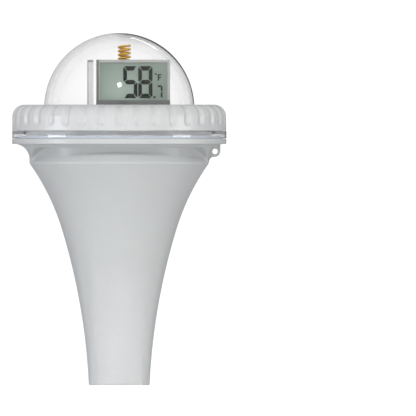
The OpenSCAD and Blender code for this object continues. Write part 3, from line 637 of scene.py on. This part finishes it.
dress(["deck_screws", "box_screws", "rear_cover_screws", "probe_tip", "door_pin"],
      turned_metal("stainless_turned", "c8cacc", 0.3, 0.3))
dress(["ballast_weight"], turned_metal("phosphated_steel", "6a6d70", 0.55, 0.8))
dress(["contact_spring", "contact_plate", "door_contact"],
      turned_metal("nickel_strip", "d2d0c8", 0.22, 0.4))
cell_wrap = plastic("printed_cell_jacket", "3c6a8c", "35618a", 0.28, 0.6, 0.002, coat=0.3)
dress(["battery_left", "battery_right"], cell_wrap)


# ---------------------------------------------------------------------------------------------
# Antenna: a helical spring of gilt brass wire, four open turns that stand on the top edge of the
# board.
def drawn_path(path, radius, sides):
    """A round wire along a path: each ring lies in the plane of the outward and upward normals
    there."""
    along = np.gradient(path, axis=0)
    along /= np.linalg.norm(along, axis=1, keepdims=True)
    out = np.cross(along, np.array([0, -0.03, 1.0]))
    out /= np.linalg.norm(out, axis=1, keepdims=True)
    up = np.cross(out, along)
    a = np.linspace(0, 2 * np.pi, sides, endpoint=False)[None, :, None]
    return path[:, None] + radius * (np.cos(a) * out[:, None] + np.sin(a) * up[:, None])


antenna_low, antenna_high = (np.array(corner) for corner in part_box("antenna"))
wire_r = 0.0006
wire_sides = 12
leg_rows = 8
coil_r = (antenna_high[0] - antenna_low[0]) / 2 - wire_r
coil_x = (antenna_high[0] + antenna_low[0]) / 2
coil_y = (antenna_high[1] + antenna_low[1]) / 2
coil_low = 0.1622
coil_turns = 4
coil_angle = np.linspace(0, 2 * np.pi * coil_turns, 64 * coil_turns + 1)
coil_rise = (antenna_high[2] - wire_r - coil_low) / coil_turns
coil_path = np.stack([coil_x + coil_r * np.cos(coil_angle), coil_y + coil_r * np.sin(coil_angle),
                      coil_low + coil_rise * coil_angle / (2 * np.pi)], axis=-1)
leg_z = np.linspace(antenna_low[2], coil_low - 0.0016, leg_rows)
leg_path = np.stack([np.full(leg_rows, coil_x + coil_r), np.full(leg_rows, coil_y), leg_z],
                    axis=-1)
gilt = turned_metal("gilt_brass_wire", "dfae33", 0.13, 0.6)
wire_points = drawn_path(np.concatenate([leg_path, coil_path]), wire_r, wire_sides)
antenna_piece = grid_piece("antenna_spring", wire_points[:, ::-1], gilt, "float",
                           lid_low=True, lid_high=True)
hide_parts("antenna")


# ---------------------------------------------------------------------------------------------
# Circuit board: FR4 with green solder mask. Copper tracks show as slightly raised, lighter lines.
def solder_mask():
    """Green lacquer over copper tracks: soft-edged diagonal bands, bent by noise, lift the lacquer
    and lighten it, more in some places than in others."""
    material, tree, place = blank_material("fr4_green_mask")
    patches = add_node(tree, "ShaderNodeTexNoise", {"Vector": place, "Scale": 120.0,
                       "Detail": 0.0})
    tracks = add_node(tree, "ShaderNodeTexWave", {"Vector": place, "Scale": 170.0,
                      "Distortion": 3.0}, bands_direction="DIAGONAL")
    edge = ramp(tree, tracks.outputs["Fac"], 0.55, 0.65)
    level = reckon(tree, "MULTIPLY", edge, patches.outputs["Fac"])
    tint = blend(tree, level, linear("1f5a3c"), linear("3a8a5c"))
    bump = add_node(tree, "ShaderNodeBump", {"Height": edge, "Strength": 0.4,
                    "Distance": 0.00004})
    skin = add_node(tree, "ShaderNodeBsdfPrincipled", {"Base Color": tint, "Roughness": 0.3,
                    "Normal": bump.outputs[0], "IOR": 1.5})
    add_node(tree, "ShaderNodeOutputMaterial", {"Surface": skin.outputs[0]})
    return material


dress(["main_board"], solder_mask())


# ---------------------------------------------------------------------------------------------
# Display: a twisted-nematic cell in front of a grey-green reflector, in a printed surround. The
# cell's face carries a painted pool of light round one point.
def display_cell():
    """Grey-green cell face with a painted pool of light round one point, darkening with distance
    from there into painted shade, and a fine mottle over it."""
    material, tree, place = blank_material("display_cell_grey_green")
    # Painted light: the cell's face is lightest at this point and fades to painted shade 15 mm
    # away.
    painted_glow_point = (0.001, -0.0026, 0.1475)
    mottle_mm = 0.4
    away = add_node(tree, "ShaderNodeVectorMath", {0: place, 1: painted_glow_point}, operation="DISTANCE")
    painted_glow_fade = ramp(tree, away.outputs["Value"], 0.001, 0.015)
    face = blend(tree, painted_glow_fade, linear("9fada4"), linear("6c7a70"))
    mottle = add_node(tree, "ShaderNodeTexNoise", {"Vector": place, "Scale": 1000 / mottle_mm,
                      "Detail": 1.0})
    speck = blend(tree, mottle.outputs["Fac"], face, linear("7f8c82"))
    skin = add_node(tree, "ShaderNodeBsdfPrincipled", {"Base Color": speck, "Roughness": 0.22,
                    "IOR": 1.5, "Specular IOR Level": 0.3})
    add_node(tree, "ShaderNodeOutputMaterial", {"Surface": skin.outputs[0]})
    return material


def display_surround():
    """Printed grey surround: clouded light grey, with painted shade of the window's inner walls as
    a darker stripe down the left side and a darker band along the bottom."""
    material, tree, place = blank_material("printed_grey_surround")
    # Painted shade: a darker stripe down the left and a band along the bottom stand for the shadow
    # of the window's inner walls.
    shade_band_z = 0.14245
    shade_stripe_x, shade_stripe_half = -0.0107, 0.0006
    split = add_node(tree, "ShaderNodeSeparateXYZ", {"Vector": place})
    low = reckon(tree, "LESS_THAN", split.outputs["Z"], shade_band_z)
    left = reckon(tree, "COMPARE", split.outputs["X"], shade_stripe_x, shade_stripe_half)
    dark = reckon(tree, "MAXIMUM", low, left)
    cloud = add_node(tree, "ShaderNodeTexNoise", {"Vector": place, "Scale": 200.0})
    pale = blend(tree, cloud.outputs["Fac"], linear("a5a5a2"), linear("969692"))
    tint = blend(tree, dark, pale, linear("5e605e"))
    skin = add_node(tree, "ShaderNodeBsdfPrincipled", {"Base Color": tint, "Roughness": 0.4,
                    "IOR": 1.5})
    add_node(tree, "ShaderNodeOutputMaterial", {"Surface": skin.outputs[0]})
    return material


dress(["lcd_glass"], display_cell())
dress(["lcd_bezel"], display_surround())
dress(["lcd_reflector"], plastic("reflector_film", "9aa59b", "92a094", 0.35, 0.3, 0.002))
dress(["lcd_segments"], plastic("dark_segments", "181b1a", "1c1f1e", 0.5, 0.5, 0.001,
                                specular=0.0))
